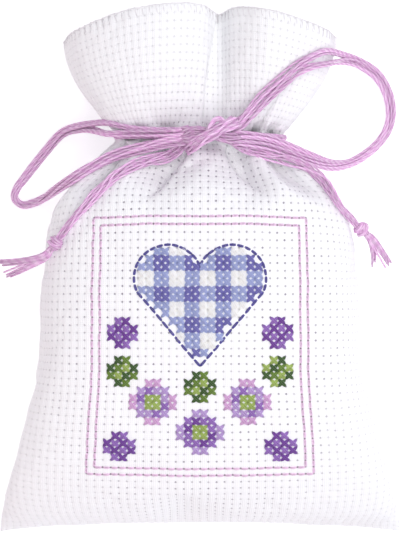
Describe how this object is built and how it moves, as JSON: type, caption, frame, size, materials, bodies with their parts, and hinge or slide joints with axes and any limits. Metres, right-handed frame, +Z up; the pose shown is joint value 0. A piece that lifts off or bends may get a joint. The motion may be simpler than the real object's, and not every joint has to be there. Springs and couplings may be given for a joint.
{
  "type": "lavender sachet",
  "caption": "Filled drawstring pouch of white counted cloth with an embroidered front, gathered at the neck into a frill and tied with a bow of soft cord; scents a drawer or wardrobe.",
  "frame": {"origin": "middle of the footprint on the surface that the pouch lies on, measured without the bow's free loops and tails", "axes": "+X to the right across the front, +Y from the bottom seam to the frill, +Z up out of the embroidered front, as the pouch lies on its back"},
  "size_m": [0.0747, 0.1002, 0.0312],
  "materials": {
    "counted_cloth": "bleached cotton counted cloth with a regular grid of small holes",
    "white_thread": "white sewing cotton",
    "dried_lavender": "loose dried flower heads, dull violet grey",
    "orchid_cotton": "soft stranded cotton with a slight sheen, orchid pink",
    "mauve_cotton": "stranded embroidery cotton, mauve pink",
    "blue_cotton": "stranded embroidery cotton, periwinkle blue in two depths",
    "violet_cotton": "stranded embroidery cotton, violet",
    "lilac_cotton": "stranded embroidery cotton, lilac",
    "green_cotton": "stranded embroidery cotton, leaf green"
  },
  "bodies": {
    "root": {"front_panel": "counted_cloth", "back_panel": "counted_cloth", "lavender_filling": "dried_lavender", "front_edge_overcast": "white_thread", "back_edge_overcast": "white_thread", "left_seam_thread": "white_thread", "right_seam_thread": "white_thread", "bottom_seam_thread": "white_thread", "neck_tie": "orchid_cotton", "bow_knot": "orchid_cotton", "border_outer_line": "mauve_cotton", "border_inner_line": "mauve_cotton", "heart_patch": "blue_cotton", "middle_blossom": "violet_cotton", "middle_leaf": "green_cotton", "left_blossom": "lilac_cotton", "left_upper_bud": "violet_cotton", "left_lower_bud": "violet_cotton", "left_leaf": "green_cotton", "right_blossom": "lilac_cotton", "right_upper_bud": "violet_cotton", "right_lower_bud": "violet_cotton", "right_leaf": "green_cotton", "left_loop": "orchid_cotton", "right_loop": "orchid_cotton", "left_tail": "orchid_cotton", "right_tail": "orchid_cotton", "left_end_knot": "orchid_cotton", "right_end_knot": "orchid_cotton", "left_tassel": "orchid_cotton", "right_tassel": "orchid_cotton"}
  },
  "joints": []
}
